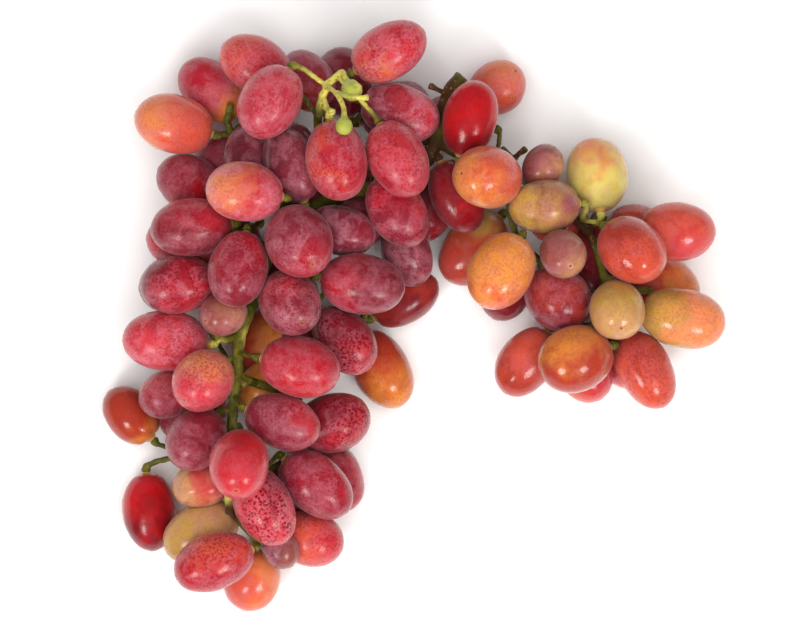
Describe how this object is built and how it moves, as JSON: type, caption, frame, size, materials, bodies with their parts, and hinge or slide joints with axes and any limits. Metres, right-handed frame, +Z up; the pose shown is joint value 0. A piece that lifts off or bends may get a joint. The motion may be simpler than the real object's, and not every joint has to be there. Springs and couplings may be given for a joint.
{
  "type": "bunch of grapes",
  "caption": "Bunch of oval red table grapes lying on its side, with a broad crown, a tapering tail and a side wing, every berry stalked to one branching stem.",
  "frame": {"origin": "on the table, under the middle of the bunch's box", "axes": "+Z up from the table; +Y from the tail of the bunch towards its crown; +X towards the wing"},
  "size_m": [0.2008, 0.1904, 0.065],
  "materials": {
    "stem": "green-brown grape stalk, matt, drying at the cut ends",
    "skin_plum": "plum-red grape skin under a pale waxy bloom",
    "skin_mauve": "dusky purple grape skin under a thick waxy bloom",
    "skin_crimson": "crimson grape skin, speckled and lightly bloomed",
    "skin_coral": "coral-pink grape skin, lightly bloomed",
    "skin_brick": "red-brown glossy grape skin",
    "skin_burgundy": "dark glossy burgundy grape skin",
    "skin_amber": "amber to orange translucent grape skin",
    "skin_olive": "yellow-green grape skin with a tan blush"
  },
  "bodies": {
    "root": {"stem": "stem", "crown_grape_01": "skin_coral", "crown_grape_02": "skin_crimson", "crown_grape_03": "skin_coral", "crown_grape_04": "skin_plum", "crown_grape_05": "skin_coral", "crown_grape_06": "skin_mauve", "crown_grape_07": "skin_crimson", "crown_grape_08": "skin_plum", "crown_grape_09": "skin_crimson", "crown_grape_10": "skin_plum", "crown_grape_11": "skin_plum", "middle_grape_01": "skin_crimson", "middle_grape_02": "skin_plum", "middle_grape_03": "skin_plum", "middle_grape_04": "skin_crimson", "middle_grape_05": "skin_plum", "middle_grape_06": "skin_mauve", "middle_grape_07": "skin_crimson", "middle_grape_08": "skin_coral", "middle_grape_09": "skin_brick", "middle_grape_10": "skin_plum", "middle_grape_11": "skin_plum", "middle_grape_12": "skin_brick", "middle_grape_13": "skin_crimson", "tail_grape_01": "skin_plum", "tail_grape_02": "skin_crimson", "tail_grape_03": "skin_plum", "tail_grape_04": "skin_crimson", "tail_grape_05": "skin_crimson", "tail_grape_06": "skin_plum", "tail_grape_07": "skin_coral", "tail_grape_08": "skin_crimson", "tail_grape_09": "skin_burgundy", "wing_grape_01": "skin_burgundy", "wing_grape_02": "skin_burgundy", "wing_grape_03": "skin_amber", "wing_grape_04": "skin_olive", "wing_grape_05": "skin_amber", "wing_grape_06": "skin_brick", "wing_grape_07": "skin_burgundy", "wing_grape_08": "skin_coral", "wing_grape_09": "skin_coral", "wing_grape_10": "skin_olive", "wing_grape_11": "skin_coral", "wing_grape_12": "skin_coral", "wing_grape_13": "skin_amber", "wing_grape_14": "skin_coral", "crown_left_under_grapes": "skin_plum", "crown_middle_under_grapes": "skin_mauve", "crown_back_under_grapes": "skin_mauve", "crown_front_under_grapes": "skin_mauve", "middle_left_under_grapes": "skin_crimson", "middle_right_under_grapes": "skin_burgundy", "middle_centre_under_grapes": "skin_plum", "tail_left_under_grapes": "skin_mauve", "tail_right_under_grapes": "skin_mauve", "wing_near_under_grapes": "skin_brick", "wing_far_under_grapes": "skin_coral", "wing_top_under_grapes": "skin_brick"}
  },
  "joints": []
}
